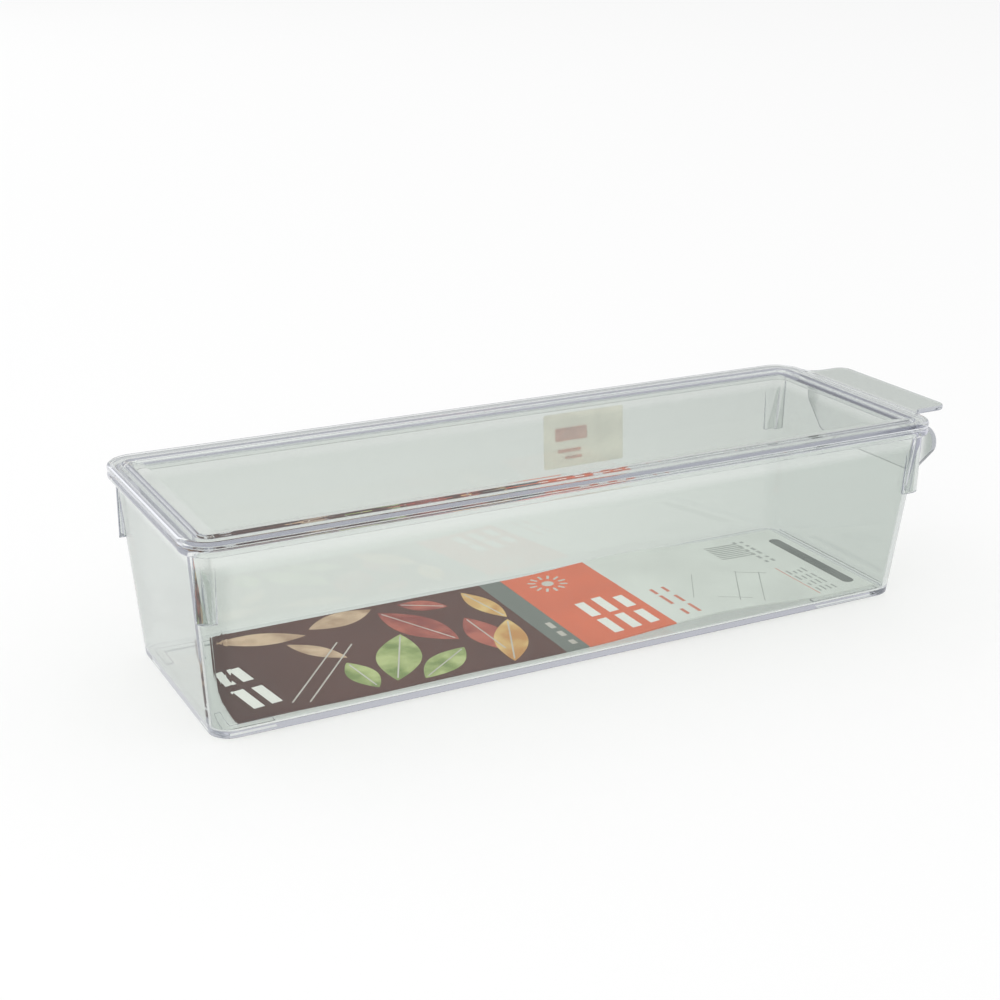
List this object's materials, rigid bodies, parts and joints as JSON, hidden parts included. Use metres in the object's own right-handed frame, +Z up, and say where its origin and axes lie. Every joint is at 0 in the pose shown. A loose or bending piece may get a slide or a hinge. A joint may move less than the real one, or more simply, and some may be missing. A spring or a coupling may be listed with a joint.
{
  "type": "fridge drawer organizer",
  "caption": "Long clear plastic refrigerator bin with tapered walls, a rolled rim, a hanging pull and a plug-in stacking lid with a finger tab.",
  "frame": {"origin": "on the standing plane under the stacking feet, at the middle of the whole outline with the lid's tab", "axes": "+X along the bin towards the pull and the tab, +Y across it, +Z up"},
  "size_m": [0.325, 0.1, 0.075],
  "materials": {
    "clear_plastic": "crystal-clear moulded plastic, polished, with a faint violet tint along its thick edges",
    "printed_card": "glossy printed card",
    "label_paper": "plain matt sticker seen from behind"
  },
  "bodies": {
    "bin": {"bin": "clear_plastic", "insert_card": "printed_card", "price_label": "label_paper"},
    "lid": {"lid": "clear_plastic"}
  },
  "joints": [
    {"name": "lid_lift", "type": "slide", "parent": "bin", "child": "lid", "axis": [0, 0, 1], "range_m": [0, 0.1]}
  ]
}
